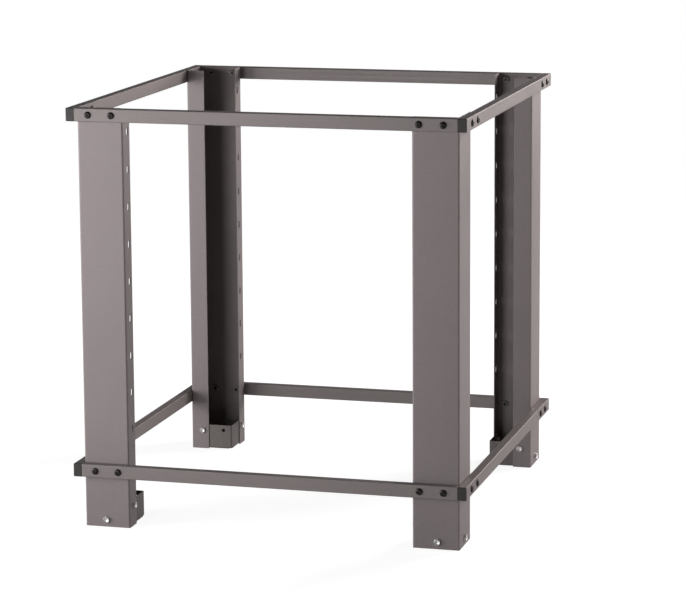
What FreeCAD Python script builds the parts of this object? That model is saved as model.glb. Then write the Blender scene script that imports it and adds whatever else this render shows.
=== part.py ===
import FreeCAD, Part
import math
import os
import Sketcher

# Oven stand: an open frame of four folded, slotted legs, eight box-section rails bolted to
# the outside of the legs, and a folded bracket bolted into the foot of each leg.
# Millimetres. The origin is on the floor, under the middle of the stand. X is left to right,
# Y is front to back and Z is up. The front is the side towards -Y.

doc = FreeCAD.newDocument("oven_stand")

# Driving dimensions
DRIVING = [
    ("stand_width", 870, "over the outer faces of the left and right legs"),
    ("stand_depth", 870, "over the outer faces of the front and rear legs"),
    ("stand_height", 956, "floor to the top of the legs and of the top rails"),
    ("leg_side", 106, "outside width of each of the two full walls of a leg"),
    ("leg_sheet", 2, "thickness of the folded leg"),
    ("leg_bend", 4, "outside radius of the folds of a leg"),
    ("lip_width", 44, "width of the return lip at the end of each full wall"),
    ("front_lip_drop", 18, "top of a front leg to the tops of its lips"),
    ("slot_count", 9, "slots in one lip"),
    ("slot_pitch", 84.5, "height from one slot to the next"),
    ("slot_drop", 55.5, "top of the leg to the middle of the first slot"),
    ("slot_inset", 28, "outer face of the leg to the middle line of the slots"),
    ("slot_length", 18, "height of a slot"),
    ("slot_width", 10, "width of a slot"),
    ("rail_height", 30, "height of a rail"),
    ("rail_thickness", 20, "thickness of a rail, away from the leg"),
    ("rail_wall", 1.5, "wall of the rail's tube"),
    ("rail_edge", 2, "outside radius of the rail's long edges"),
    ("low_rail_lift", 118, "floor to the underside of the bottom rails"),
    ("cap_flange", 3, "thickness of an end cap outside the tube"),
    ("cap_plug", 12, "length of an end cap inside the tube"),
    ("cap_wall", 1.6, "wall of the plug"),
    ("cap_bevel", 1, "bevel round the cap's outer face"),
    ("cap_play", 0.1, "gap between the plug and the tube, on each side"),
    ("bolt_inset", 32, "outer corner of the leg to the first rail bolt"),
    ("bolt_spacing", 54, "first to second rail bolt of one end"),
    ("thread_size", 8, "thread of all the screws"),
    ("hole_play", 0.3, "gap between a thread and its hole, all round"),
    ("bolt_head_width", 16, "width of the rail bolt's low round head"),
    ("bolt_head_height", 3.6, "height of the rail bolt's head"),
    ("bolt_head_dome", 12, "radius of the domed top of the rail bolt's head"),
    ("bolt_head_rim", 1, "straight edge of the head below the dome"),
    ("bolt_socket", 5, "hexagon socket, across the flats"),
    ("bolt_socket_depth", 2.4, "depth of the hexagon socket"),
    ("nut_across", 13, "hexagon nut, across the flats"),
    ("nut_height", 6.5, "height of a nut"),
    ("nut_play", 0.1, "gap between a thread and its nut, all round"),
    ("thread_past_nut", 1.5, "length of thread that stands out of a nut"),
    ("bracket_sheet", 2.5, "thickness of the foot bracket"),
    ("bracket_bend", 4, "outside radius of the bracket's folds"),
    ("bracket_lift", 1, "floor to the underside of the foot bracket"),
    ("bracket_height", 60, "height of the bracket's two tall walls"),
    ("bracket_low_wall", 29, "height of the bracket's two low walls"),
    ("bracket_relief", 7, "corner relief between the bracket's walls"),
    ("bracket_play", 0.1, "gap between the bracket and the leg, on each side"),
    ("spare_hole", 9, "spare hole in the bracket's tall wall"),
    ("spare_hole_inset", 22, "corner of the bracket to the spare hole"),
    ("spare_hole_height", 48, "floor to the spare hole"),
    ("floor_hole", 10.5, "hole in the middle of the bracket's base"),
    ("wall_screw_inset", 50, "outer corner of the leg to the screw in a full wall"),
    ("wall_screw_height", 17, "floor to the screw in a full wall"),
    ("lip_screw_inset", 28, "outer face of the leg to the screw in a lip"),
    ("lip_screw_height", 47, "floor to the screw in a lip"),
    ("screw_head_across", 13, "foot screw's hexagon head, across the flats"),
    ("screw_head_height", 5.3, "height of the foot screw's head"),
]

sizes = doc.addObject("Spreadsheet::Sheet", "Sizes")
for row, (alias, value, meaning) in enumerate(DRIVING, start=1):
    sizes.set(f"A{row}", alias)
    sizes.set(f"B{row}", str(value))
    sizes.setAlias(f"B{row}", alias)
    sizes.set(f"C{row}", meaning)
doc.recompute()


def size(alias):
    """One driving dimension, as a number."""
    return float(sizes.get(alias))


def bind(item, **expressions):
    """Ties properties of an object to the sheet. A double underscore stands for a dot."""
    for path, expression in expressions.items():
        item.setExpression(path.replace("__", "."), expression)


def place(item, x="0", y="0", z="0", turn=0, tip=0):
    """Puts an object at bound coordinates, tipped about X and then turned about Z, in degrees."""
    item.Placement = FreeCAD.Placement(FreeCAD.Vector(0, 0, 0), FreeCAD.Rotation(turn, 0, tip))
    bind(item, Placement__Base__x=x, Placement__Base__y=y, Placement__Base__z=z)


# Sketches and features of a body

def sketch_on(body, name, role, offset=None):
    """A sketch on one of the body's own origin planes, or at a bound distance in front of it."""
    sketch = body.newObject("Sketcher::SketchObject", name)
    plane = [item for item in body.Origin.OriginFeatures if item.Role == role][0]
    sketch.AttachmentSupport = [(plane, "")]
    sketch.MapMode = "FlatFace"
    if offset:
        bind(sketch, AttachmentOffset__Base__z=offset)
    return sketch


def as_drawn(sketch, kind, where):
    """The distance, radius or diameter that a new constraint finds in the drawn geometry."""
    if kind in ("Radius", "Diameter"):
        return sketch.Geometry[where[0]].Radius * (2 if kind == "Diameter" else 1)
    start, end = sketch.getPoint(*where[:2]), sketch.getPoint(*where[2:])
    return end.x - start.x if kind == "DistanceX" else end.y - start.y


def hold(sketch, kind, *where, to=None):
    """Adds a constraint. With `to`, its value is tied to the sheet."""
    if to is None:
        sketch.addConstraint(Sketcher.Constraint(kind, *where))
        return
    drawn = as_drawn(sketch, kind, where)
    index = sketch.addConstraint(Sketcher.Constraint(kind, *where, drawn))
    label = f"held_{index}"
    sketch.renameConstraint(index, label)
    sketch.setExpression("Constraints." + label, to)


def line(sketch, start, end):
    return sketch.addGeometry(Part.LineSegment(FreeCAD.Vector(*start, 0), FreeCAD.Vector(*end, 0)))


def arc(sketch, centre, radius, first, last):
    circle = Part.Circle(FreeCAD.Vector(*centre, 0), FreeCAD.Vector(0, 0, 1), radius)
    return sketch.addGeometry(Part.ArcOfCircle(circle, math.radians(first), math.radians(last)))


def rectangle(sketch, left, right, bottom, top):
    """A rectangle whose four sides lie at bound distances right of and above the origin."""
    corners = [(1, 1), (9, 1), (9, 6), (1, 6)]
    sides = [line(sketch, corners[i], corners[(i + 1) % 4]) for i in range(4)]
    for i in range(4):
        hold(sketch, "Coincident", sides[i], 2, sides[(i + 1) % 4], 1)
        hold(sketch, "Vertical" if i % 2 else "Horizontal", sides[i])
    for kind, side, distance in (("DistanceX", 3, left), ("DistanceX", 1, right),
                                 ("DistanceY", 0, bottom), ("DistanceY", 2, top)):
        if distance == "0":
            hold(sketch, "PointOnObject", sides[side], 1, -2 if kind == "DistanceX" else -1)
        else:
            hold(sketch, kind, -1, 1, sides[side], 1, to=distance)


def round_hole(sketch, across, up, diameter, side=1):
    """A circle at bound distances from the origin; side -1 puts it left of the origin."""
    centre = FreeCAD.Vector(20 * side, 20, 0)
    hole = sketch.addGeometry(Part.Circle(centre, FreeCAD.Vector(0, 0, 1), 3))
    ends = (-1, 1, hole, 3) if side > 0 else (hole, 3, -1, 1)
    hold(sketch, "DistanceX", *ends, to=across)
    hold(sketch, "DistanceY", -1, 1, hole, 3, to=up)
    hold(sketch, "Diameter", hole, to=diameter)


def pad(body, sketch, length, symmetric=False):
    feature = body.newObject("PartDesign::Pad", sketch.Name + "_pad")
    feature.Profile = sketch
    feature.Midplane = symmetric
    bind(feature, Length=length)
    doc.recompute()
    return feature


def cut(body, sketch, depth):
    """Cuts half the depth to each side of the sketch, and makes sure that material went."""
    before = body.Shape.Volume
    feature = body.newObject("PartDesign::Pocket", sketch.Name + "_cut")
    feature.Profile = sketch
    feature.Midplane = True
    bind(feature, Length=depth)
    doc.recompute()
    if body.Shape.Volume >= before:
        raise ValueError(sketch.Name + " cuts nothing")
    return feature


def ease_edges(body, kind, chosen, label, **amount):
    """A Fillet or Chamfer on the edges of the body's last feature for which `chosen` is true."""
    base = body.Tip
    names = [f"Edge{i}" for i, edge in enumerate(base.Shape.Edges, start=1) if chosen(edge)]
    feature = body.newObject("PartDesign::" + kind, label)
    feature.Base = (base, names)
    bind(feature, **amount)
    doc.recompute()


def runs_along(edge, axis):
    """True for a straight edge parallel to the axis with this number."""
    if not isinstance(edge.Curve, Part.Line):
        return False
    return abs(edge.Curve.Direction[axis]) > 0.999


HOLE = "Sizes.thread_size + 2 * Sizes.hole_play"
# Edges nearer to a face than this count as lying in it
TOUCH = 0.01


# Legs: one sheet folded into a square post that stays open at the inner corner. The lips of
# the front legs stop short of the top, so that they end behind the front rail.

def leg_profile(sketch):
    """The folded section, with its outer corner at the origin and its walls along X and Y."""
    side, sheet = size("leg_side"), size("leg_sheet")
    bend, lip = size("leg_bend"), size("lip_width")
    far, inner = side - bend, side - sheet
    outer_side_lip = line(sketch, (side, lip), (side, bend))
    outer_fold_side = arc(sketch, (far, bend), bend, -90, 0)
    outer_front = line(sketch, (far, 0), (bend, 0))
    outer_fold_corner = arc(sketch, (bend, bend), bend, 180, 270)
    outer_flank = line(sketch, (0, bend), (0, far))
    outer_fold_back = arc(sketch, (bend, far), bend, 90, 180)
    outer_back_lip = line(sketch, (bend, side), (lip, side))
    back_lip_end = line(sketch, (lip, side), (lip, inner))
    inner_back_lip = line(sketch, (lip, inner), (bend, inner))
    inner_fold_back = arc(sketch, (bend, far), bend - sheet, 90, 180)
    inner_flank = line(sketch, (sheet, far), (sheet, bend))
    inner_fold_corner = arc(sketch, (bend, bend), bend - sheet, 180, 270)
    inner_front = line(sketch, (bend, sheet), (far, sheet))
    inner_fold_side = arc(sketch, (far, bend), bend - sheet, -90, 0)
    inner_side_lip = line(sketch, (inner, bend), (inner, lip))
    side_lip_end = line(sketch, (inner, lip), (side, lip))
    for wall, wall_end, fold, fold_end in (
            (outer_side_lip, 2, outer_fold_side, 2), (outer_front, 1, outer_fold_side, 1),
            (outer_front, 2, outer_fold_corner, 2), (outer_flank, 1, outer_fold_corner, 1),
            (outer_flank, 2, outer_fold_back, 2), (outer_back_lip, 1, outer_fold_back, 1),
            (inner_back_lip, 2, inner_fold_back, 1), (inner_flank, 1, inner_fold_back, 2),
            (inner_flank, 2, inner_fold_corner, 1), (inner_front, 1, inner_fold_corner, 2),
            (inner_front, 2, inner_fold_side, 1), (inner_side_lip, 1, inner_fold_side, 2)):
        hold(sketch, "Tangent", wall, wall_end, fold, fold_end)
    for first, second in ((outer_back_lip, back_lip_end), (back_lip_end, inner_back_lip),
                          (inner_side_lip, side_lip_end), (side_lip_end, outer_side_lip)):
        hold(sketch, "Coincident", first, 2, second, 1)
    for wall in (outer_front, inner_front, outer_back_lip, inner_back_lip, side_lip_end):
        hold(sketch, "Horizontal", wall)
    for wall in (outer_flank, inner_flank, outer_side_lip, inner_side_lip, back_lip_end):
        hold(sketch, "Vertical", wall)
    for outer_fold, inner_fold in ((outer_fold_side, inner_fold_side),
                                   (outer_fold_corner, inner_fold_corner),
                                   (outer_fold_back, inner_fold_back)):
        hold(sketch, "Coincident", outer_fold, 3, inner_fold, 3)
    hold(sketch, "Radius", outer_fold_corner, to="Sizes.leg_bend")
    hold(sketch, "Radius", inner_fold_corner, to="Sizes.leg_bend - Sizes.leg_sheet")
    hold(sketch, "Equal", outer_fold_corner, outer_fold_side)
    hold(sketch, "Equal", outer_fold_corner, outer_fold_back)
    hold(sketch, "PointOnObject", outer_front, 1, -1)
    hold(sketch, "PointOnObject", outer_flank, 1, -2)
    hold(sketch, "DistanceX", -1, 1, outer_side_lip, 2, to="Sizes.leg_side")
    hold(sketch, "DistanceY", -1, 1, outer_back_lip, 1, to="Sizes.leg_side")
    hold(sketch, "DistanceY", -1, 1, outer_side_lip, 1, to="Sizes.lip_width")
    hold(sketch, "DistanceX", -1, 1, outer_back_lip, 2, to="Sizes.lip_width")


def slot_outline(sketch):
    """The top slot of a lip: straight sides and round ends, upright."""
    middle, half = size("slot_inset"), size("slot_width") / 2
    high = size("stand_height") - size("slot_drop")
    reach = size("slot_length") / 2 - half
    right = line(sketch, (middle + half, high - reach), (middle + half, high + reach))
    top = arc(sketch, (middle, high + reach), half, 0, 180)
    left = line(sketch, (middle - half, high + reach), (middle - half, high - reach))
    bottom = arc(sketch, (middle, high - reach), half, 180, 360)
    hold(sketch, "Tangent", right, 2, top, 1)
    hold(sketch, "Tangent", top, 2, left, 1)
    hold(sketch, "Tangent", left, 2, bottom, 1)
    hold(sketch, "Tangent", bottom, 2, right, 1)
    hold(sketch, "Vertical", right)
    hold(sketch, "Equal", top, bottom)
    first = "Sizes.stand_height - Sizes.slot_drop"
    reach = "(Sizes.slot_length - Sizes.slot_width) / 2"
    hold(sketch, "Radius", top, to="Sizes.slot_width / 2")
    hold(sketch, "DistanceX", -1, 1, top, 3, to="Sizes.slot_inset")
    hold(sketch, "DistanceY", -1, 1, top, 3, to=f"{first} + {reach}")
    hold(sketch, "DistanceY", -1, 1, bottom, 3, to=f"{first} - {reach}")


def rail_bolt_holes(sketch, side=1):
    """Two holes at the height of the top rail and two at that of the bottom rail."""
    for level in ("Sizes.stand_height - Sizes.rail_height / 2",
                  "Sizes.low_rail_lift + Sizes.rail_height / 2"):
        for across in ("Sizes.bolt_inset", "Sizes.bolt_inset + Sizes.bolt_spacing"):
            round_hole(sketch, across, level, HOLE, side)


def leg_body(name, short_lips):
    """A leg as it stands in the front left corner, with its outer corner at the origin."""
    body = doc.addObject("PartDesign::Body", name)
    section = sketch_on(body, name + "_section", "XY_Plane")
    leg_profile(section)
    pad(body, section, "Sizes.stand_height")

    if short_lips:
        tips = sketch_on(body, name + "_lip_tips", "XY_Plane", "Sizes.stand_height")
        fold = "Sizes.leg_side - Sizes.leg_bend"
        rectangle(tips, fold, "Sizes.leg_side", "0", "Sizes.lip_width")
        rectangle(tips, "0", "Sizes.lip_width", fold, "Sizes.leg_side")
        cut(body, tips, "2 * Sizes.front_lip_drop")

    front_holes = sketch_on(body, name + "_front_holes", "XZ_Plane")
    rail_bolt_holes(front_holes)
    round_hole(front_holes, "Sizes.wall_screw_inset", "Sizes.wall_screw_height", HOLE)
    cut(body, front_holes, "4 * Sizes.leg_sheet")

    flank_holes = sketch_on(body, name + "_flank_holes", "YZ_Plane")
    rail_bolt_holes(flank_holes)
    round_hole(flank_holes, "Sizes.wall_screw_inset", "Sizes.wall_screw_height", HOLE)
    cut(body, flank_holes, "4 * Sizes.leg_sheet")

    back_lip_hole = sketch_on(body, name + "_back_lip_hole", "XZ_Plane", "-Sizes.leg_side")
    round_hole(back_lip_hole, "Sizes.lip_screw_inset", "Sizes.lip_screw_height", HOLE)
    cut(body, back_lip_hole, "4 * Sizes.leg_sheet")

    side_lip_hole = sketch_on(body, name + "_side_lip_hole", "YZ_Plane", "Sizes.leg_side")
    round_hole(side_lip_hole, "Sizes.lip_screw_inset", "Sizes.lip_screw_height", HOLE)
    cut(body, side_lip_hole, "4 * Sizes.leg_sheet")

    slot = sketch_on(body, name + "_slot", "YZ_Plane", "Sizes.leg_side")
    slot_outline(slot)
    top_slot = cut(body, slot, "4 * Sizes.leg_sheet")
    column = body.newObject("PartDesign::LinearPattern", name + "_slots")
    column.Originals = [top_slot]
    column.Direction = (slot, ["V_Axis"])
    column.Reversed = True
    bind(column, Length="Sizes.slot_pitch * (Sizes.slot_count - 1)", Occurrences="Sizes.slot_count")
    body.Tip = column
    doc.recompute()
    return body


# Foot brackets: a square tray folded from thicker sheet, with its two tall walls against the
# leg's lips, so that they close the open corner at the foot, and two low walls against the
# leg's full walls. The base stays off the floor.

def bracket_body(name):
    body = doc.addObject("PartDesign::Body", name)
    near = "Sizes.leg_sheet + Sizes.bracket_play"
    far = "Sizes.leg_side - Sizes.leg_sheet - Sizes.bracket_play"
    block = sketch_on(body, name + "_block", "XY_Plane", "Sizes.bracket_lift")
    rectangle(block, near, far, near, far)
    pad(body, block, "Sizes.bracket_height")
    base_height = size("bracket_lift")
    ease_edges(body, "Fillet", lambda edge: runs_along(edge, 2), name + "_corners",
               Radius="Sizes.bracket_bend")
    ease_edges(body, "Fillet", lambda edge: edge.BoundBox.ZMax < base_height + TOUCH,
               name + "_base_folds", Radius="Sizes.bracket_bend")

    hollow = body.newObject("PartDesign::Thickness", name + "_hollow")
    top = max(enumerate(body.Shape.Faces, start=1), key=lambda item: item[1].CenterOfMass.z)[0]
    hollow.Base = (doc.getObject(name + "_base_folds"), [f"Face{top}"])
    hollow.Reversed = True
    bind(hollow, Value="Sizes.bracket_sheet")
    doc.recompute()

    over = "Sizes.bracket_lift + Sizes.bracket_height + 1"
    low = "Sizes.bracket_lift + Sizes.bracket_low_wall"
    end_wall = "Sizes.leg_side - Sizes.leg_sheet - Sizes.bracket_play - Sizes.bracket_sheet"
    for label, plane in (("front", "XZ_Plane"), ("flank", "YZ_Plane")):
        drop = sketch_on(body, f"{name}_{label}_drop", plane)
        rectangle(drop, "0", f"{end_wall} - Sizes.bracket_relief", low, over)
        cut(body, drop, "4 * (Sizes.leg_sheet + Sizes.bracket_play + Sizes.bracket_sheet)")

    reach = "Sizes.leg_sheet + Sizes.bracket_play + Sizes.bracket_relief"
    start = f"{end_wall} - Sizes.bracket_relief"
    reliefs = sketch_on(body, name + "_reliefs", "XY_Plane")
    rectangle(reliefs, "0", reach, "0", reach)
    rectangle(reliefs, start, "Sizes.leg_side", "0", reach)
    rectangle(reliefs, "0", reach, start, "Sizes.leg_side")
    cut(body, reliefs, "4 * Sizes.bracket_height")

    notch = sketch_on(body, name + "_corner_notch", "XY_Plane", "Sizes.bracket_lift")
    rectangle(notch, start, "Sizes.leg_side", start, "Sizes.leg_side")
    cut(body, notch, "2 * Sizes.bracket_bend")

    base_hole = sketch_on(body, name + "_base_hole", "XY_Plane", "Sizes.bracket_lift")
    round_hole(base_hole, "Sizes.leg_side / 2", "Sizes.leg_side / 2", "Sizes.floor_hole")
    cut(body, base_hole, "4 * Sizes.bracket_sheet")

    for label, plane, sign in (("back", "XZ_Plane", "-"), ("side", "YZ_Plane", "")):
        holes = sketch_on(body, f"{name}_{label}_holes", plane, f"{sign}({far})")
        round_hole(holes, "Sizes.lip_screw_inset", "Sizes.lip_screw_height", HOLE)
        if label == "back":
            round_hole(holes, f"{far} - Sizes.spare_hole_inset", "Sizes.spare_hole_height",
                       "Sizes.spare_hole")
        cut(body, holes, "4 * Sizes.bracket_sheet")
    for label, plane, sign in (("front", "XZ_Plane", "-"), ("flank", "YZ_Plane", "")):
        holes = sketch_on(body, f"{name}_{label}_holes", plane, f"{sign}({near})")
        round_hole(holes, "Sizes.wall_screw_inset", "Sizes.wall_screw_height", HOLE)
        cut(body, holes, "4 * Sizes.bracket_sheet")
    return body


# Rails: rectangular tube, lying along X with its inner face on the XZ plane

def rail_body(name, length, hole_span):
    """A rail whose bolt holes are placed from the leg corners, `hole_span` apart."""
    body = doc.addObject("PartDesign::Body", name)
    section = sketch_on(body, name + "_section", "YZ_Plane")
    rectangle(section, "0", "Sizes.rail_thickness", "0", "Sizes.rail_height")
    pad(body, section, length, symmetric=True)
    ease_edges(body, "Fillet", lambda edge: runs_along(edge, 0), name + "_edges",
               Radius="Sizes.rail_edge")
    bore = sketch_on(body, name + "_bore", "YZ_Plane")
    rectangle(bore, "Sizes.rail_wall", "Sizes.rail_thickness - Sizes.rail_wall",
              "Sizes.rail_wall", "Sizes.rail_height - Sizes.rail_wall")
    cut(body, bore, f"{length} + 2")
    holes = sketch_on(body, name + "_holes", "XZ_Plane")
    for side in (-1, 1):
        for inset in ("Sizes.bolt_inset", "Sizes.bolt_inset + Sizes.bolt_spacing"):
            round_hole(holes, f"{hole_span} / 2 - ({inset})", "Sizes.rail_height / 2", HOLE, side)
    cut(body, holes, "4 * Sizes.rail_thickness")
    return body


# End caps: a flange over the end of the tube and a hollow plug inside it

def cap_body(name):
    """A cap for a tube that starts at X = 0 and runs along +X, with its inner face at Y = 0."""
    body = doc.addObject("PartDesign::Body", name)
    flange = sketch_on(body, name + "_flange", "YZ_Plane")
    rectangle(flange, "0", "Sizes.rail_thickness", "0", "Sizes.rail_height")
    outside = pad(body, flange, "Sizes.cap_flange")
    outside.Reversed = True
    doc.recompute()
    ease_edges(body, "Fillet", lambda edge: runs_along(edge, 0), name + "_edges",
               Radius="Sizes.rail_edge")
    outer_face = -size("cap_flange")
    ease_edges(body, "Chamfer", lambda edge: edge.BoundBox.XMax < outer_face + TOUCH,
               name + "_rim", Size="Sizes.cap_bevel")
    plug = sketch_on(body, name + "_plug", "YZ_Plane")
    gap = "Sizes.rail_wall + Sizes.cap_play"
    rectangle(plug, gap, f"Sizes.rail_thickness - ({gap})", gap, f"Sizes.rail_height - ({gap})")
    pad(body, plug, "Sizes.cap_plug")
    hollow = sketch_on(body, name + "_hollow", "YZ_Plane", "Sizes.cap_plug")
    wall = f"{gap} + Sizes.cap_wall"
    rectangle(hollow, wall, f"Sizes.rail_thickness - ({wall})", wall, f"Sizes.rail_height - ({wall})")
    cut(body, hollow, "2 * Sizes.cap_plug")
    return body


# Fasteners: each stands on Z = 0 with its thread up

def hexagon(name, across, height):
    prism = doc.addObject("Part::Prism", name)
    prism.Polygon = 6
    bind(prism, Circumradius=f"{across} / 2 / cos(30)", Height=height)
    return prism


def cylinder(name, diameter, height):
    rod = doc.addObject("Part::Cylinder", name)
    bind(rod, Radius=f"({diameter}) / 2", Height=height)
    return rod


def boolean(kind, name, base, tool):
    result = doc.addObject("Part::" + kind, name)
    result.Base = base
    result.Tool = tool
    doc.recompute()
    return result


def domed_bolt():
    """Low domed head with a hexagon socket, long enough for a rail, a leg wall and a nut."""
    blank = cylinder("bolt_blank", "Sizes.bolt_head_width", "Sizes.bolt_head_height")
    place(blank, z="-Sizes.bolt_head_height")
    dome = doc.addObject("Part::Sphere", "bolt_dome")
    bind(dome, Radius="Sizes.bolt_head_dome")
    place(dome, z="sqrt(Sizes.bolt_head_dome ^ 2 - (Sizes.bolt_head_width / 2) ^ 2)"
          " - Sizes.bolt_head_rim")
    head = boolean("Common", "bolt_head", blank, dome)
    socket = hexagon("bolt_socket", "Sizes.bolt_socket", "Sizes.bolt_socket_depth")
    place(socket, z="-Sizes.bolt_head_height")
    drilled = boolean("Cut", "bolt_drilled_head", head, socket)
    shank = cylinder("bolt_shank", "Sizes.thread_size", "Sizes.rail_thickness + Sizes.leg_sheet"
                     " + Sizes.nut_height + Sizes.thread_past_nut")
    return boolean("Fuse", "rail_bolt", drilled, shank)


def hexagon_screw():
    """Hexagon head, long enough for a leg wall, a bracket wall and a nut."""
    head = hexagon("screw_head", "Sizes.screw_head_across", "Sizes.screw_head_height")
    place(head, z="-Sizes.screw_head_height")
    shank = cylinder("screw_shank", "Sizes.thread_size", "Sizes.leg_sheet + Sizes.bracket_play"
                     " + Sizes.bracket_sheet + Sizes.nut_height + Sizes.thread_past_nut")
    return boolean("Fuse", "foot_screw", head, shank)


def hexagon_nut():
    blank = hexagon("nut_blank", "Sizes.nut_across", "Sizes.nut_height")
    bore = cylinder("nut_bore", "Sizes.thread_size + 2 * Sizes.nut_play", "Sizes.nut_height")
    return boolean("Cut", "nut", blank, bore)


def group(node, master, spots):
    """Copies of one fastener at (x, y, z, heading), as separate solids in one node."""
    copies = []
    for number, (x, y, z, heading) in enumerate(spots, start=1):
        copy = doc.addObject("App::Link", f"{node}_{number}")
        copy.LinkedObject = master
        place(copy, x, y, z, turn=heading, tip=-90)
        copies.append(copy)
    together = doc.addObject("Part::Compound", node)
    together.Links = copies
    return together


# Where things stand. For the right and for the rear the sign is +, else it is -.

CORNERS = {"front_left": (-1, -1), "front_right": (1, -1),
           "rear_left": (-1, 1), "rear_right": (1, 1)}
SIDES = {"front": (0, -1), "rear": (0, 1), "left": (-1, 0), "right": (1, 0)}
LEVELS = {"top": "Sizes.stand_height - Sizes.rail_height", "bottom": "Sizes.low_rail_lift"}
# Heading of a fastener whose thread points this way
HEADING = {(0, 1): 0, (0, -1): 180, (1, 0): -90, (-1, 0): 90}

nodes = {}


def stand_in_corner(node, body, corner):
    """Puts a piece made for the front left corner into any corner, mirrored where it must be."""
    right, back = CORNERS[corner]
    piece = body
    if right * back < 0:
        piece = doc.addObject("Part::Mirroring", node + "_mirrored")
        piece.Source = body
        piece.Normal = FreeCAD.Vector(1, 0, 0)
    place(piece, f"{right} * Sizes.stand_width / 2", f"{back} * Sizes.stand_depth / 2",
          turn=180 if back > 0 else 0)
    nodes[node] = piece


for corner, (right, back) in CORNERS.items():
    stand_in_corner("leg_" + corner, leg_body("leg_" + corner, short_lips=back < 0), corner)
    stand_in_corner("foot_bracket_" + corner, bracket_body("foot_bracket_" + corner), corner)

bolt = domed_bolt()
screw = hexagon_screw()
nut = hexagon_nut()

for level, underside in LEVELS.items():
    for side, (right, back) in SIDES.items():
        node = f"rail_{level}_{side}"
        if back:
            span = "Sizes.stand_width"
            length = span
        else:
            span = "Sizes.stand_depth"
            length = f"({span} + 2 * Sizes.rail_thickness - 2 * Sizes.cap_flange)"
        rail = rail_body(node, length, span)
        across = f"{right} * Sizes.stand_width / 2"
        along = f"{back} * Sizes.stand_depth / 2"
        turn = {(0, -1): 180, (0, 1): 0, (-1, 0): 90, (1, 0): -90}[(right, back)]
        place(rail, across, along, underside, turn=turn)
        nodes[node] = rail

        # Two bolts and two nuts at each end of the rail, pointing into the legs
        height = f"{underside} + Sizes.rail_height / 2"
        heading = HEADING[(-right, -back)]
        for kind, master, out in (("bolts", bolt, "Sizes.rail_thickness"),
                                  ("nuts", nut, "-Sizes.leg_sheet")):
            spots = []
            for end in (-1, 1):
                for inset in ("Sizes.bolt_inset", "(Sizes.bolt_inset + Sizes.bolt_spacing)"):
                    stop = f"{end} * ({span} / 2 - {inset})"
                    x = stop if back else f"{across} + {right} * {out}"
                    y = f"{along} + {back} * {out}" if back else stop
                    spots.append((x, y, height, heading))
            nodes[f"{kind}_{level}_{side}"] = group(f"{kind}_{level}_{side}", master, spots)

# A cap in each end of the side rails, flush with the outer faces of the front and rear rails
for level, underside in LEVELS.items():
    for corner, (right, back) in CORNERS.items():
        node = f"end_cap_{level}_{corner}"
        cap = cap_body(node)
        piece = cap
        if right * back < 0:
            piece = doc.addObject("Part::Mirroring", node + "_mirrored")
            piece.Source = cap
            piece.Normal = FreeCAD.Vector(0, 1, 0)
        turn = 90 if back < 0 else -90
        along = "(Sizes.stand_depth / 2 + Sizes.rail_thickness - Sizes.cap_flange)"
        place(piece, f"{right} * Sizes.stand_width / 2", f"{back} * {along}", underside, turn=turn)
        nodes[node] = piece

# Four screws and nuts hold each foot bracket: one in each full wall and one in each lip
for corner, (right, back) in CORNERS.items():
    wall_x = "Sizes.stand_width / 2"
    wall_y = "Sizes.stand_depth / 2"
    grip = "(Sizes.leg_sheet + Sizes.bracket_play + Sizes.bracket_sheet)"
    screw_spots = []
    nut_spots = []
    for into, spots in (("0", screw_spots), (grip, nut_spots)):
        low = "Sizes.wall_screw_height"
        high = "Sizes.lip_screw_height"
        spots.append((f"{right} * ({wall_x} - Sizes.wall_screw_inset)",
                      f"{back} * ({wall_y} - {into})", low, HEADING[(0, -back)]))
        spots.append((f"{right} * ({wall_x} - {into})",
                      f"{back} * ({wall_y} - Sizes.wall_screw_inset)", low, HEADING[(-right, 0)]))
        spots.append((f"{right} * ({wall_x} - Sizes.lip_screw_inset)",
                      f"{back} * ({wall_y} - Sizes.leg_side + {into})", high, HEADING[(0, back)]))
        spots.append((f"{right} * ({wall_x} - Sizes.leg_side + {into})",
                      f"{back} * ({wall_y} - Sizes.lip_screw_inset)", high, HEADING[(right, 0)]))
    nodes["foot_screws_" + corner] = group("foot_screws_" + corner, screw, screw_spots)
    nodes["foot_nuts_" + corner] = group("foot_nuts_" + corner, nut, nut_spots)

doc.recompute()

for item in doc.Objects:
    if "Invalid" in item.State or "Error" in item.State:
        raise ValueError(f"{item.Name} failed: {item.State}")
for node, piece in nodes.items():
    piece.Label = node
    if piece.Shape.isNull() or not piece.Shape.isValid() or not piece.Shape.Solids:
        raise ValueError(node + " has no sound shape")

os.makedirs("parts", exist_ok=True)
for node, piece in nodes.items():
    piece.Shape.exportStep(os.path.join("parts", node + ".step"))
print(len(nodes), "nodes,", sum(len(piece.Shape.Solids) for piece in nodes.values()), "solids")
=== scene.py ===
import math

import bpy
from mathutils import Matrix, Vector


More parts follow.
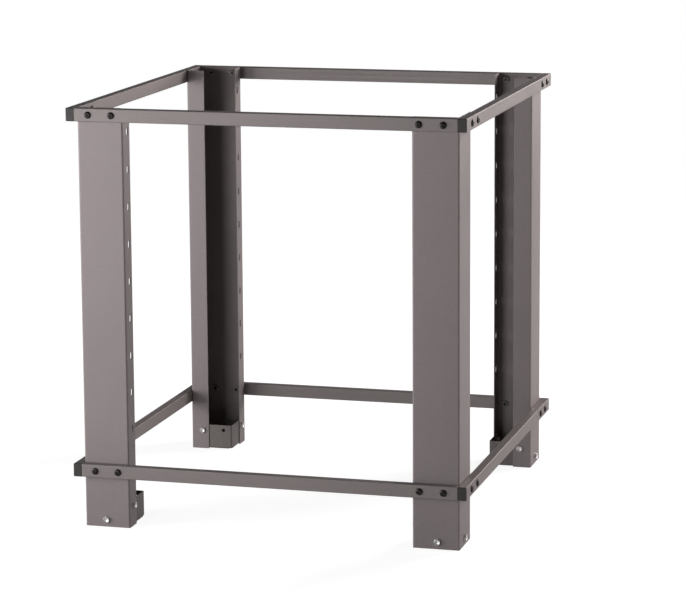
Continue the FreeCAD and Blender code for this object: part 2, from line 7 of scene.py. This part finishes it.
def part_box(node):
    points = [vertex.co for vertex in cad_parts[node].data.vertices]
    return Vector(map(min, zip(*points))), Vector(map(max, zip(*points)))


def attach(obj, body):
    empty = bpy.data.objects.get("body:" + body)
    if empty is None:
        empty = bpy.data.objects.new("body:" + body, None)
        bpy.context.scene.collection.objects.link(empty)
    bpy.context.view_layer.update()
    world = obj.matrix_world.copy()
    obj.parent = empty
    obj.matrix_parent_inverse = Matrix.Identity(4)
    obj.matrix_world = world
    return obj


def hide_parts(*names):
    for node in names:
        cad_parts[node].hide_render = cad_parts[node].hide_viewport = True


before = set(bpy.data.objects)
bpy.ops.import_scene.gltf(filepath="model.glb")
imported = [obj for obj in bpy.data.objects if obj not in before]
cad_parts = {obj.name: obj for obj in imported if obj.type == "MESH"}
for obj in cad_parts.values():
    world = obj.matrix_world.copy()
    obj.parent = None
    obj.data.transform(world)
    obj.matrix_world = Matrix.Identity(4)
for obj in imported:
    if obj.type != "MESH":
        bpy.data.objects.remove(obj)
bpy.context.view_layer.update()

# The photographer's camera: a long lens, a little to the right of the stand and above its top,
# looking slightly down. The place is in metres and the angles are in degrees.
camera_place = (1.8089, -6.3326, 1.7158)
camera_heading = 15.49
camera_dip = 9.80
camera_roll = -0.37
sensor_width = 36.0
picture_width = 686
picture_height = 606
focal_length_px = 2853.5
level_row_px = 250

lens = bpy.data.cameras.new("photo_camera")
lens.sensor_fit = "HORIZONTAL"
lens.sensor_width = sensor_width
lens.lens = focal_length_px / picture_width * sensor_width
lens.shift_y = (level_row_px - picture_height / 2) / picture_width
camera = bpy.data.objects.new("photo_camera", lens)
camera.matrix_world = (Matrix.Translation(camera_place)
                       @ Matrix.Rotation(math.radians(camera_heading), 4, "Z")
                       @ Matrix.Rotation(math.radians(90 - camera_dip), 4, "X")
                       @ Matrix.Rotation(math.radians(camera_roll), 4, "Z"))
bpy.context.scene.collection.objects.link(camera)
bpy.context.scene.camera = camera


# The studio: a wide seamless white floor, which goes to plain white away from the stand and
# keeps its soft shadow, and a white room with a dark ceiling and a dim side behind the camera.
floor_half = 30.0
floor_bounce = 0.40
floor_seen_near = 0.87
floor_seen_far = 1.0
near_radius = 0.9
far_radius = 1.9
floor_mirrored = 0.35
room_white = 1.0
room_dark = 0.0
room_light = 0.01
dim_side = (0.10, -0.995, 0.0)
dim_range = (0.30, 0.70)
ceiling_mirrored = 0.05
ceiling_range = (0.08, 0.30)
lamp_aim = (0, 0, 0.48)
white_light = (1.0, 1.0, 1.0)
warm_light = (1.0, 0.955, 0.935)


def add(tree, kind, inputs=None, **settings):
    """A node with its settings, and its inputs: each a value or the output that feeds it."""
    node = tree.nodes.new(kind)
    for setting, value in settings.items():
        setattr(node, setting, value)
    for socket, value in (inputs or {}).items():
        if isinstance(value, bpy.types.NodeSocket):
            tree.links.new(value, node.inputs[socket])
        else:
            node.inputs[socket].default_value = value
    return node


def remap(tree, value, start, stop, to_start=0.0, to_stop=1.0):
    """Spreads start..stop evenly over to_start..to_stop, and holds the ends beyond it."""
    return add(tree, "ShaderNodeMapRange", {"Value": value, "From Min": start, "From Max": stop,
                                            "To Min": to_start, "To Max": to_stop}).outputs[0]


def empty_material(name):
    """A new material, and its node tree with nothing in it yet."""
    material = bpy.data.materials.new(name)
    material.use_nodes = True
    material.node_tree.nodes.clear()
    return material, material.node_tree


def by_ray(tree, direct, mirrored, other):
    """One level for rays from the camera, one for those that a shiny or a clear surface sends
    on, and one for the light that falls on everything else."""
    rays = add(tree, "ShaderNodeLightPath")
    onward = add(tree, "ShaderNodeMath", {0: rays.outputs["Is Glossy Ray"],
                                          1: rays.outputs["Is Transmission Ray"]},
                 operation="MAXIMUM")
    indirect = add(tree, "ShaderNodeMix", {"Factor": onward.outputs[0], "A": other,
                                           "B": mirrored})
    level = add(tree, "ShaderNodeMix", {"Factor": rays.outputs["Is Camera Ray"],
                                        "A": indirect.outputs[0], "B": direct})
    return level.outputs[0]


floor_mesh = bpy.data.meshes.new("studio_floor")
floor_mesh.from_pydata([(-floor_half, -floor_half, 0), (floor_half, -floor_half, 0),
                        (floor_half, floor_half, 0), (-floor_half, floor_half, 0)],
                       [], [(0, 1, 2, 3)])
floor = bpy.data.objects.new("studio_floor", floor_mesh)
bpy.context.scene.collection.objects.link(floor)

paper, paper_tree = empty_material("seamless_paper")
spot = add(paper_tree, "ShaderNodeTexCoord").outputs["Object"]
from_stand = add(paper_tree, "ShaderNodeVectorMath", {0: spot}, operation="LENGTH")
floor_seen = remap(paper_tree, from_stand.outputs["Value"], near_radius, far_radius,
                   floor_seen_near, floor_seen_far)
glow = by_ray(paper_tree, floor_seen, floor_mirrored, 0.0)
matt = add(paper_tree, "ShaderNodeBsdfDiffuse", {"Color": (floor_bounce,) * 3 + (1,)})
bright = add(paper_tree, "ShaderNodeEmission", {"Strength": glow})
both = add(paper_tree, "ShaderNodeAddShader", {0: matt.outputs[0], 1: bright.outputs[0]})
add(paper_tree, "ShaderNodeOutputMaterial", {"Surface": both.outputs[0]})
floor_mesh.materials.append(paper)

room = bpy.data.worlds.new("white_room")
room.use_nodes = True
room_tree = room.node_tree
room_tree.nodes.clear()
direction = add(room_tree, "ShaderNodeTexCoord").outputs["Generated"]
height = add(room_tree, "ShaderNodeSeparateXYZ", {0: direction}).outputs["Z"]
dimness = add(room_tree, "ShaderNodeVectorMath", {0: direction, 1: dim_side},
              operation="DOT_PRODUCT").outputs["Value"]
walls = remap(room_tree, dimness, *dim_range, room_white, room_dark)
overhead = remap(room_tree, height, *ceiling_range)
room_mirrored = add(room_tree, "ShaderNodeMix", {"Factor": overhead, "A": walls,
                                                 "B": ceiling_mirrored})
room_level = by_ray(room_tree, room_white, room_mirrored.outputs[0], room_light)
sky = add(room_tree, "ShaderNodeBackground", {"Strength": room_level})
add(room_tree, "ShaderNodeOutputWorld", {"Surface": sky.outputs[0]})
bpy.context.scene.world = room


def softbox(name, place, width, height, power, tint):
    """A rectangular lamp with a white front, turned towards the middle of the stand."""
    lamp = bpy.data.lights.new(name, "AREA")
    lamp.shape = "RECTANGLE"
    lamp.size = width
    lamp.size_y = height
    lamp.energy = power
    lamp.color = tint
    holder = bpy.data.objects.new(name, lamp)
    holder.location = place
    towards = Vector(lamp_aim) - Vector(place)
    holder.rotation_euler = towards.to_track_quat("-Z", "Y").to_euler()
    bpy.context.scene.collection.objects.link(holder)


softbox("key_box", (-2.62, -1.84, 0.7), width=1.4, height=1.6, power=65, tint=white_light)
softbox("front_box", (-1.03, -2.82, 0.6), width=1.2, height=1.6, power=21, tint=white_light)
softbox("rear_box", (2.06, 2.45, 1.75), width=1.2, height=1.6, power=84, tint=warm_light)
softbox("right_box", (3.0, 0.0, 0.7), width=1.2, height=1.6, power=22, tint=warm_light)
bpy.context.scene.view_settings.view_transform = "Standard"


# Legs: steel sheet folded three times into an open, slotted post. They carry a warm dark grey
# powder coat with metallic flakes, half gloss, a little uneven in film and thinner on the folds.
coat_grey = (0.262, 0.223, 0.227)
worn_grey = (0.46, 0.43, 0.42)
cloud_range = (0.3, 0.7)
film_range = (0.94, 1.06)
glint_range = (0.88, 1.12)
fold_range = (0.985, 0.86)
rub_range = (0.42, 0.62)
most_worn = 0.35
coat_roughness = (0.44, 0.54)
coat_metallic = 0.3


def powder_coat(name, colour, offset):
    """Metallic powder coat: clouds in the film, flakes, orange peel and rubbed edges."""
    material, tree = empty_material(name)
    place = add(tree, "ShaderNodeTexCoord").outputs["Object"]
    place = add(tree, "ShaderNodeMapping", {"Vector": place, "Location": offset}).outputs[0]
    clouds = add(tree, "ShaderNodeTexNoise", {"Vector": place, "Scale": 5.0, "Detail": 4.0,
                                              "Roughness": 0.6}).outputs[0]
    flakes = add(tree, "ShaderNodeTexVoronoi", {"Vector": place, "Scale": 1500.0})
    peel = add(tree, "ShaderNodeTexNoise", {"Vector": place, "Scale": 480.0, "Detail": 2.0})
    rubs = add(tree, "ShaderNodeTexNoise", {"Vector": place, "Scale": 60.0, "Detail": 5.0})

    film = remap(tree, clouds, *cloud_range, *film_range)
    flake_light = add(tree, "ShaderNodeSeparateColor", {0: flakes.outputs["Color"]})
    glint = remap(tree, flake_light.outputs[0], 0.0, 1.0, *glint_range)
    tone = add(tree, "ShaderNodeMath", {0: film, 1: glint}, operation="MULTIPLY")
    body = add(tree, "ShaderNodeVectorMath", {0: colour, "Scale": tone.outputs[0]},
               operation="SCALE")

    soft_edge = add(tree, "ShaderNodeBevel", {"Radius": 0.0011}, samples=6)
    true_face = add(tree, "ShaderNodeNewGeometry")
    bend = add(tree, "ShaderNodeVectorMath", {0: soft_edge.outputs[0],
                                              1: true_face.outputs["Normal"]},
               operation="DOT_PRODUCT")
    edge = remap(tree, bend.outputs["Value"], *fold_range)
    rubbed = remap(tree, rubs.outputs[0], *rub_range)
    wear = add(tree, "ShaderNodeMath", {0: edge, 1: rubbed}, operation="MULTIPLY")
    worn_share = add(tree, "ShaderNodeMath", {0: wear.outputs[0], 1: most_worn},
                     operation="MULTIPLY")
    shown = add(tree, "ShaderNodeMix", {"Factor": worn_share.outputs[0], 6: body.outputs[0],
                                        7: (*worn_grey, 1)}, data_type="RGBA")
    gloss = remap(tree, clouds, *cloud_range, *coat_roughness)
    grain = add(tree, "ShaderNodeBump", {"Height": peel.outputs[0], "Strength": 0.25,
                                         "Distance": 0.0003, "Normal": soft_edge.outputs[0]})
    coat = add(tree, "ShaderNodeBsdfPrincipled", {"Base Color": shown.outputs[2],
                                                  "Roughness": gloss,
                                                  "Normal": grain.outputs[0],
                                                  "Metallic": coat_metallic})
    add(tree, "ShaderNodeOutputMaterial", {"Surface": coat.outputs[0]})
    return material


def finish_with(material, nodes):
    """Gives every slot of these CAD nodes the material."""
    for node in nodes:
        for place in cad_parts[node].material_slots:
            place.material = material


corners = {"front_left": (-1, -1), "front_right": (1, -1),
           "rear_left": (-1, 1), "rear_right": (1, 1)}
finish_with(powder_coat("leg_coat", coat_grey, offset=(0.0, 0.0, 0.0)),
            ["leg_" + corner for corner in corners])


# Foot brackets: square trays folded from thicker sheet and bolted into the feet of the legs,
# in the same powder coat, its colour darkened as painted shade for the dim feet of the legs.
bracket_shaded_grey = (0.168, 0.147, 0.142)
finish_with(powder_coat("bracket_coat", bracket_shaded_grey, offset=(3.1, 0.4, 0.2)),
            ["foot_bracket_" + corner for corner in corners])


# Rails: rectangular steel tube, drilled through and bolted to the outside of the legs, in the
# same powder coat. The side rails run past the front and rear rails, which butt against them.
rail_grey = (0.245, 0.212, 0.210)
levels = ("top", "bottom")
sides = {"front": (0, -1), "rear": (0, 1), "left": (-1, 0), "right": (1, 0)}
rails = [(level, side) for level in levels for side in sides]
finish_with(powder_coat("rail_coat", rail_grey, offset=(0.7, 2.3, 1.1)),
            [f"rail_{level}_{side}" for level, side in rails])


# End caps: moulded plastic caps pressed into the open ends of the side rails, dark grey with a
# fine grain, a little polished where hands have rubbed them.
cap_grey = (0.028, 0.024, 0.023)
flow_tones = (0.85, 1.2)
cap_roughness = (0.42, 0.58)


def moulded_plastic(name, colour):
    """Moulded plastic: tones that follow the flow into the mould, and a fine grain."""
    material, tree = empty_material(name)
    place = add(tree, "ShaderNodeTexCoord").outputs["Object"]
    flow = add(tree, "ShaderNodeTexNoise", {"Vector": place, "Scale": 35.0,
                                            "Detail": 3.0}).outputs[0]
    grain = add(tree, "ShaderNodeTexNoise", {"Vector": place, "Scale": 1400.0, "Detail": 2.0})
    tone = remap(tree, flow, *cloud_range, *flow_tones)
    body = add(tree, "ShaderNodeVectorMath", {0: colour, "Scale": tone}, operation="SCALE")
    soft_edge = add(tree, "ShaderNodeBevel", {"Radius": 0.0008}, samples=6)
    bump = add(tree, "ShaderNodeBump", {"Height": grain.outputs[0], "Strength": 0.4,
                                        "Distance": 0.0002, "Normal": soft_edge.outputs[0]})
    gloss = remap(tree, flow, *cloud_range, *cap_roughness)
    plastic = add(tree, "ShaderNodeBsdfPrincipled", {"Base Color": body.outputs[0],
                                                     "Roughness": gloss,
                                                     "Normal": bump.outputs[0]})
    add(tree, "ShaderNodeOutputMaterial", {"Surface": plastic.outputs[0]})
    return material


finish_with(moulded_plastic("cap_plastic", cap_grey),
            [f"end_cap_{level}_{corner}" for level in levels for corner in corners])


# Rail bolts: M8 bolts with a low domed head and a hexagon socket, blackened steel, two at each
# end of every rail. They are turned and rolled, so each is drawn here ring by ring.
ring_points = 24
pole_radius = 0.00001
sixth_turn = math.pi / 3
crisp_angle = 32
bolt_spacing = 0.054
head_height = 0.0036
head_rim = 0.0010
head_flat_radius = 0.0033
rim_angles = (66, 42, 20, 0)
edge_break = 0.00015
socket_across = 0.005
socket_depth = 0.0024
thread_size = 0.008
thread_depth = 0.0006
thread_pitch = 0.00125
thread_turns_shown = 4
thread_sizes = {"Thread": thread_size, "Pitch": thread_pitch, "Thread depth": thread_depth}
patch_range = (0.35, 0.65)


def metal(name, colour, tint, roughness, metallic, patch_size):
    """Blackened or plated steel: two tones in small patches, and fine turning marks."""
    material, tree = empty_material(name)
    place = add(tree, "ShaderNodeTexCoord").outputs["Object"]
    patches = add(tree, "ShaderNodeTexNoise", {"Vector": place, "Scale": 1 / patch_size,
                                               "Detail": 3.0}).outputs[0]
    marks = add(tree, "ShaderNodeTexNoise", {"Vector": place, "Scale": 2500.0, "Detail": 2.0})
    share = remap(tree, patches, *patch_range)
    shown = add(tree, "ShaderNodeMix", {"Factor": share, 6: (*colour, 1), 7: (*tint, 1)},
                data_type="RGBA")
    gloss = remap(tree, patches, *patch_range, *roughness)
    bump = add(tree, "ShaderNodeBump", {"Height": marks.outputs[0], "Strength": 0.3,
                                        "Distance": 0.0001})
    steel = add(tree, "ShaderNodeBsdfPrincipled", {"Base Color": shown.outputs[2],
                                                   "Roughness": gloss,
                                                   "Normal": bump.outputs[0],
                                                   "Metallic": metallic})
    add(tree, "ShaderNodeOutputMaterial", {"Surface": steel.outputs[0]})
    return material


class Turning:
    """Geometry nodes that draw a fastener ring by ring about Z and put one on every point.

    The seat is at Z = 0 and the thread points along +Z. Each point's own thread_way says
    where the thread goes, and a seeded turn about the axis keeps the hexagons out of step."""

    def __init__(self, name, size_names, material):
        self.tree = bpy.data.node_groups.new(name, "GeometryNodeTree")
        face = self.tree.interface
        face.new_socket("Points", in_out="INPUT", socket_type="NodeSocketGeometry")
        for size_name in size_names:
            face.new_socket(size_name, in_out="INPUT", socket_type="NodeSocketFloat")
        face.new_socket("Seed", in_out="INPUT", socket_type="NodeSocketInt")
        face.new_socket("Fasteners", in_out="OUTPUT", socket_type="NodeSocketGeometry")
        self.sizes = add(self.tree, "NodeGroupInput").outputs
        self.material = material
        place = add(self.tree, "GeometryNodeInputPosition").outputs[0]
        level = add(self.tree, "ShaderNodeVectorMath", {0: place, 1: (1, 1, 0)},
                    operation="MULTIPLY")
        self.outward = add(self.tree, "ShaderNodeVectorMath", {0: level.outputs[0]},
                           operation="NORMALIZE").outputs[0]
        parts = add(self.tree, "ShaderNodeSeparateXYZ", {0: place}).outputs
        angle = add(self.tree, "ShaderNodeMath", {0: parts["Y"], 1: parts["X"]},
                    operation="ARCTAN2")
        from_flat = add(self.tree, "ShaderNodeMath", {0: angle.outputs[0], 1: sixth_turn / 2,
                                                      2: -sixth_turn / 2}, operation="WRAP")
        self.across_flat = add(self.tree, "ShaderNodeMath", {0: from_flat.outputs[0]},
                               operation="COSINE").outputs[0]
        start = add(self.tree, "GeometryNodeMeshCircle", {"Vertices": ring_points,
                                                          "Radius": pole_radius})
        self.shape = start.outputs[0]
        self.edge = True

    def amount(self, parts):
        """A height or radius: a number, or a sum of named sizes, each times its factor."""
        if not isinstance(parts, dict):
            return parts
        total = 0.0
        for size_name, factor in parts.items():
            total = add(self.tree, "ShaderNodeMath", {0: self.sizes[size_name], 1: factor,
                                                      2: total},
                        operation="MULTIPLY_ADD").outputs[0]
        return total

    def ring(self, height, radius, flats=None):
        """The next ring: round, or a hexagon whose corners the radius cuts off."""
        reach = self.amount(radius)
        if flats is not None:
            hexagon = add(self.tree, "ShaderNodeMath", {0: self.amount(flats),
                                                        1: self.across_flat},
                          operation="DIVIDE")
            reach = add(self.tree, "ShaderNodeMath", {0: hexagon.outputs[0], 1: reach},
                        operation="MINIMUM").outputs[0]
        out = add(self.tree, "ShaderNodeVectorMath", {0: self.outward, "Scale": reach},
                  operation="SCALE")
        up = add(self.tree, "ShaderNodeCombineXYZ", {"Z": self.amount(height)})
        place = add(self.tree, "ShaderNodeVectorMath", {0: out.outputs[0], 1: up.outputs[0]},
                    operation="ADD")
        drawn = add(self.tree, "GeometryNodeExtrudeMesh", {"Mesh": self.shape,
                                                           "Selection": self.edge,
                                                           "Offset Scale": 0.0},
                    mode="EDGES")
        moved = add(self.tree, "GeometryNodeSetPosition", {"Geometry": drawn.outputs["Mesh"],
                                                           "Selection": drawn.outputs["Top"],
                                                           "Position": place.outputs[0]})
        self.shape, self.edge = moved.outputs[0], drawn.outputs["Top"]

    def finish(self):
        """Closes the poles, keeps the real edges sharp and puts a copy on every point."""
        closed = add(self.tree, "GeometryNodeMergeByDistance", {"Geometry": self.shape,
                                                                "Distance": 3 * pole_radius})
        fold = add(self.tree, "GeometryNodeInputMeshEdgeAngle")
        crisp = add(self.tree, "FunctionNodeCompare", {0: fold.outputs["Unsigned Angle"],
                                                       1: math.radians(crisp_angle)},
                    operation="GREATER_THAN")
        smooth = add(self.tree, "GeometryNodeSetShadeSmooth", {"Geometry": closed.outputs[0]})
        edges = add(self.tree, "GeometryNodeSetShadeSmooth", {"Geometry": smooth.outputs[0],
                                                              "Selection": crisp.outputs[0],
                                                              "Shade Smooth": False},
                    domain="EDGE")
        way = add(self.tree, "GeometryNodeInputNamedAttribute", {"Name": "thread_way"},
                  data_type="FLOAT_VECTOR")
        stand = add(self.tree, "FunctionNodeAlignRotationToVector",
                    {"Vector": way.outputs["Attribute"]}, axis="Z")
        copies = add(self.tree, "GeometryNodeInstanceOnPoints", {"Points": self.sizes["Points"],
                                                                 "Instance": edges.outputs[0],
                                                                 "Rotation": stand.outputs[0]})
        turn = add(self.tree, "FunctionNodeRandomValue", {2: 0.0, 3: sixth_turn,
                                                          "Seed": self.sizes["Seed"]})
        about = add(self.tree, "ShaderNodeCombineXYZ", {"Z": turn.outputs[1]})
        turned = add(self.tree, "GeometryNodeRotateInstances", {"Instances": copies.outputs[0],
                                                                "Rotation": about.outputs[0]})
        solid = add(self.tree, "GeometryNodeRealizeInstances", {"Geometry": turned.outputs[0]})
        coloured = add(self.tree, "GeometryNodeSetMaterial", {"Geometry": solid.outputs[0],
                                                              "Material": self.material})
        add(self.tree, "NodeGroupOutput", {"Fasteners": coloured.outputs[0]})

    def place(self, node, spots, sizes, seed, slot):
        """A plain mesh of these fasteners at (place, way), which stands for the CAD node."""
        points = bpy.data.meshes.new(node + "_points")
        points.from_pydata([spot for spot, way in spots], [], [])
        ways = points.attributes.new("thread_way", "FLOAT_VECTOR", "POINT")
        for entry, (spot, way) in zip(ways.data, spots):
            entry.vector = way
        piece = bpy.data.objects.new(node + "_turned", points)
        bpy.context.scene.collection.objects.link(piece)
        modifier = piece.modifiers.new(self.tree.name, "NODES")
        modifier.node_group = self.tree
        for socket in self.tree.interface.items_tree:
            if socket.in_out == "INPUT" and socket.name in sizes:
                modifier[socket.identifier] = sizes[socket.name]
            if socket.in_out == "INPUT" and socket.name == "Seed":
                modifier[socket.identifier] = seed
        drawn = piece.evaluated_get(bpy.context.evaluated_depsgraph_get())
        plain = bpy.data.meshes.new_from_object(drawn)
        piece.modifiers.remove(modifier)
        piece.data = plain
        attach(piece, "root")
        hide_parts(node)


def thread_end(turning):
    """The last turns of the thread, a crest after each root, and the bevelled end."""
    first_crest, crest_after_root, last_crest = 0.5, 0.45, 0.4
    crest = {"Thread": 0.5}
    root = {"Thread": 0.5, "Thread depth": -1}
    turning.ring({"Length": 1, "Pitch": -thread_turns_shown - first_crest}, crest)
    for turn in range(thread_turns_shown, 0, -1):
        turning.ring({"Length": 1, "Pitch": -turn}, root)
        turning.ring({"Length": 1, "Pitch": -turn + crest_after_root}, crest)
    turning.ring({"Length": 1, "Pitch": -last_crest}, crest)
    turning.ring({"Length": 1}, root)
    turning.ring({"Length": 1}, pole_radius)


def along_rail(side, seat, height, last):
    """The four bolt places of a rail, two at each end, and the way the threads go there."""
    right, back = sides[side]
    stops = (-last, bolt_spacing - last, last - bolt_spacing, last)
    return [((stop, seat, height) if back else (seat, stop, height), (-right, -back, 0))
            for stop in stops]


black_steel = metal("black_steel", colour=(0.020, 0.019, 0.020), tint=(0.034, 0.030, 0.028),
                    roughness=(0.28, 0.42), metallic=0.75, patch_size=0.004)
bolt = Turning("domed_bolt", ("Head width", "Head height", "Rim", "Top flat", "Socket",
                              "Socket depth", "Edge break", "Thread", "Length", "Pitch",
                              "Thread depth"), black_steel)
head_top = {"Head height": -1}
socket_flats = {"Socket": 0.5}
socket_corners = {"Socket": 0.6}
bolt.ring({"Head height": -1, "Socket depth": 1}, socket_corners, socket_flats)
bolt.ring({"Head height": -1, "Edge break": 1}, socket_corners, socket_flats)
bolt.ring(head_top, {**socket_corners, "Edge break": 1}, {**socket_flats, "Edge break": 1})
bolt.ring(head_top, {"Top flat": 1})
for angle in rim_angles:
    across, rise = math.cos(math.radians(angle)), math.sin(math.radians(angle))
    bolt.ring({"Rim": rise - 1, "Head height": -rise},
              {"Head width": across / 2, "Top flat": 1 - across})
bolt.ring({"Edge break": -1}, {"Head width": 0.5})
bolt.ring(0.0, {"Head width": 0.5, "Edge break": -1})
bolt.ring(0.0, {"Thread": 0.5})
thread_end(bolt)
bolt.finish()

last_bolts = {}
for number, (level, side) in enumerate(rails):
    node = f"bolts_{level}_{side}"
    right, back = sides[side]
    run, across = (0, 1) if back else (1, 0)
    low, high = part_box(node)
    rail_low, rail_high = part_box(f"rail_{level}_{side}")
    seat = rail_high[across] if right + back > 0 else rail_low[across]
    head_width = high.z - low.z
    last_bolts[level, side] = high[run] - head_width / 2
    spots = along_rail(side, seat, (low.z + high.z) / 2, last_bolts[level, side])
    bolt.place(node, spots, {"Head width": head_width, "Head height": head_height,
                             "Rim": head_rim, "Top flat": head_flat_radius,
                             "Socket": socket_across, "Socket depth": socket_depth,
                             "Edge break": edge_break, **thread_sizes,
                             "Length": high[across] - low[across] - head_height},
               number, "black_steel")


# Nuts: hexagon nuts on the rail bolts, inside the legs, and on the foot screws. Pressed from
# bar, with their corners bevelled at both faces, and zinc-plated; the rail nuts' zinc is
# rougher, and painted darker as shade for the dim insides of the legs.
nut_across = 0.013
nut_height = 0.0065
bore_play = 0.0001
bore_bevel = 0.0005
corner_bevel = 0.0009
bevel_knee = 0.4
flats = {"Across": 0.5}
whole_corners = {"Across": 0.6}
face_edge = {"Across": 0.475}
knee_edge = {"Across": 0.525}


def draw_nut(name, material):
    """A hexagon nut on its seat, bored through, with both mouths and all corners bevelled."""
    nut = Turning(name, ("Across", "Height", "Bore", "Bore bevel", "Corner bevel"), material)
    bore_mouth = {"Bore": 0.5, "Bore bevel": 1}
    nut.ring(0.0, bore_mouth)
    nut.ring(0.0, face_edge)
    nut.ring({"Corner bevel": bevel_knee}, knee_edge, flats)
    nut.ring({"Corner bevel": 1}, whole_corners, flats)
    nut.ring({"Height": 1, "Corner bevel": -1}, whole_corners, flats)
    nut.ring({"Height": 1, "Corner bevel": -bevel_knee}, knee_edge, flats)
    nut.ring({"Height": 1}, face_edge)
    nut.ring({"Height": 1}, bore_mouth)
    nut.ring({"Height": 1, "Bore bevel": -1}, {"Bore": 0.5})
    nut.ring({"Bore bevel": 1}, {"Bore": 0.5})
    nut.ring(0.0, bore_mouth)
    nut.finish()
    return nut


nut_sizes = {"Across": nut_across, "Height": nut_height, "Bore": thread_size + 2 * bore_play,
             "Bore bevel": bore_bevel, "Corner bevel": corner_bevel}
# Painted shade: the rail nuts' zinc is darker than the foot screws' zinc, standing for the shade
# inside the legs; it is also rougher.
dull_zinc = metal("dull_zinc", colour=(0.36, 0.34, 0.33), tint=(0.27, 0.26, 0.25),
                  roughness=(0.44, 0.58), metallic=0.9, patch_size=0.005)
rail_nut = draw_nut("rail_nut", dull_zinc)
for number, (level, side) in enumerate(rails):
    node = f"nuts_{level}_{side}"
    right, back = sides[side]
    across = 1 if back else 0
    low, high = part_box(node)
    seat = high[across] if right + back > 0 else low[across]
    spots = along_rail(side, seat, (low.z + high.z) / 2, last_bolts[level, side])
    rail_nut.place(node, spots, nut_sizes, number, "dull_zinc")


# Foot screws: zinc-plated M8 hexagon screws, four in each foot: one through each full wall of
# the leg and one through each lip, into the bracket, with a nut behind each.
screw_across = 0.013
screw_head_height = 0.0053
screw_length = 0.0126
grip = 0.0046
wall_screw_inset = 0.050
wall_screw_height = 0.017
lip_screw_inset = 0.028
lip_screw_height = 0.047

zinc = metal("zinc", colour=(0.84, 0.82, 0.80), tint=(0.72, 0.71, 0.69),
             roughness=(0.40, 0.52), metallic=0.65, patch_size=0.006)
screw = Turning("hexagon_screw", ("Across", "Head height", "Corner bevel", "Thread", "Length",
                                  "Pitch", "Thread depth"), zinc)
screw.ring(head_top, face_edge)
screw.ring({"Head height": -1, "Corner bevel": bevel_knee}, knee_edge, flats)
screw.ring({"Head height": -1, "Corner bevel": 1}, whole_corners, flats)
screw.ring(0.0, whole_corners, flats)
screw.ring(0.0, {"Thread": 0.5})
thread_end(screw)
screw.finish()
zinc_nut = draw_nut("zinc_nut", zinc)
screw_sizes = {"Across": screw_across, "Head height": screw_head_height,
               "Corner bevel": corner_bevel, **thread_sizes, "Length": screw_length}

for number, (corner, (right, back)) in enumerate(corners.items()):
    low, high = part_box("leg_" + corner)
    outer_x, inner_x = (high.x, low.x) if right > 0 else (low.x, high.x)
    outer_y, inner_y = (high.y, low.y) if back > 0 else (low.y, high.y)
    spots = [((outer_x - right * wall_screw_inset, outer_y, wall_screw_height), (0, -back, 0)),
             ((outer_x, outer_y - back * wall_screw_inset, wall_screw_height), (-right, 0, 0)),
             ((outer_x - right * lip_screw_inset, inner_y, lip_screw_height), (0, back, 0)),
             ((inner_x, outer_y - back * lip_screw_inset, lip_screw_height), (right, 0, 0))]
    screw.place("foot_screws_" + corner, spots, screw_sizes, number, "zinc")
    behind = [(Vector(spot) + grip * Vector(way), way) for spot, way in spots]
    zinc_nut.place("foot_nuts_" + corner, behind, nut_sizes, number, "zinc")
